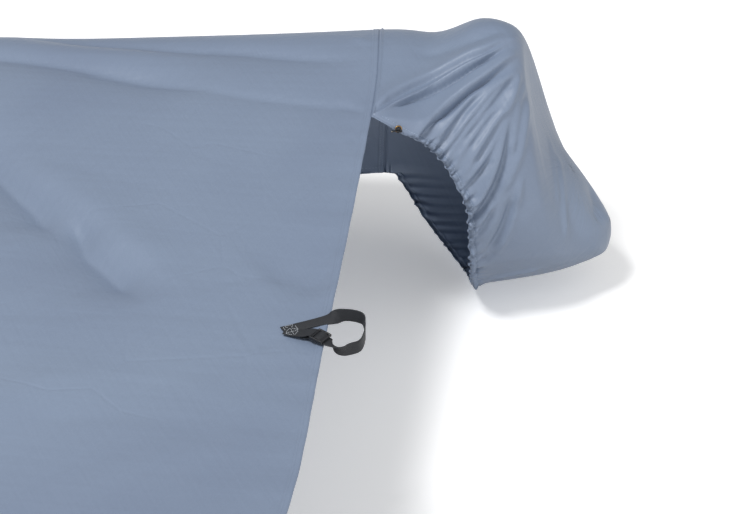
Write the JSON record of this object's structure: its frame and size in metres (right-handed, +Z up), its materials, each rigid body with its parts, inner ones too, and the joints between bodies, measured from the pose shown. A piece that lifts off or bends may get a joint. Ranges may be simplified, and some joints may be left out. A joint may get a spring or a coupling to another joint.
{
  "type": "boat cover",
  "caption": "Fitted cloth cover for a small inflatable catamaran: deck panel with side drops, a hood over each hull end with an elastic hem, and a strap with a ladder-lock buckle at the aft hem",
  "frame": {"origin": "under the middle of the deck panel, midway between the bow tips and the stern tips, where the boat's deck carries the cover", "axes": "+X aft along the boat, +Y to starboard, +Z up"},
  "size_m": [4.198, 1.9733, 0.5687],
  "materials": {
    "cover_cloth": "coated plain-weave polyester, satin",
    "webbing": "black woven polyester webbing",
    "buckle_plastic": "moulded acetal, fine satin",
    "eyelet_metal": "dulled brass",
    "cord": "black braided elastic cord"
  },
  "bodies": {
    "root": {"main_panel": "cover_cloth", "stern_hood_starboard": "cover_cloth", "stern_hood_port": "cover_cloth", "bow_hood_starboard": "cover_cloth", "bow_hood_port": "cover_cloth", "strap_long": "webbing", "strap_short": "webbing", "strap_buckle": "buckle_plastic", "cord_eyelet_starboard": "eyelet_metal", "cord_eyelet_port": "eyelet_metal", "cord_knot_starboard": "cord", "cord_knot_port": "cord"}
  },
  "joints": []
}
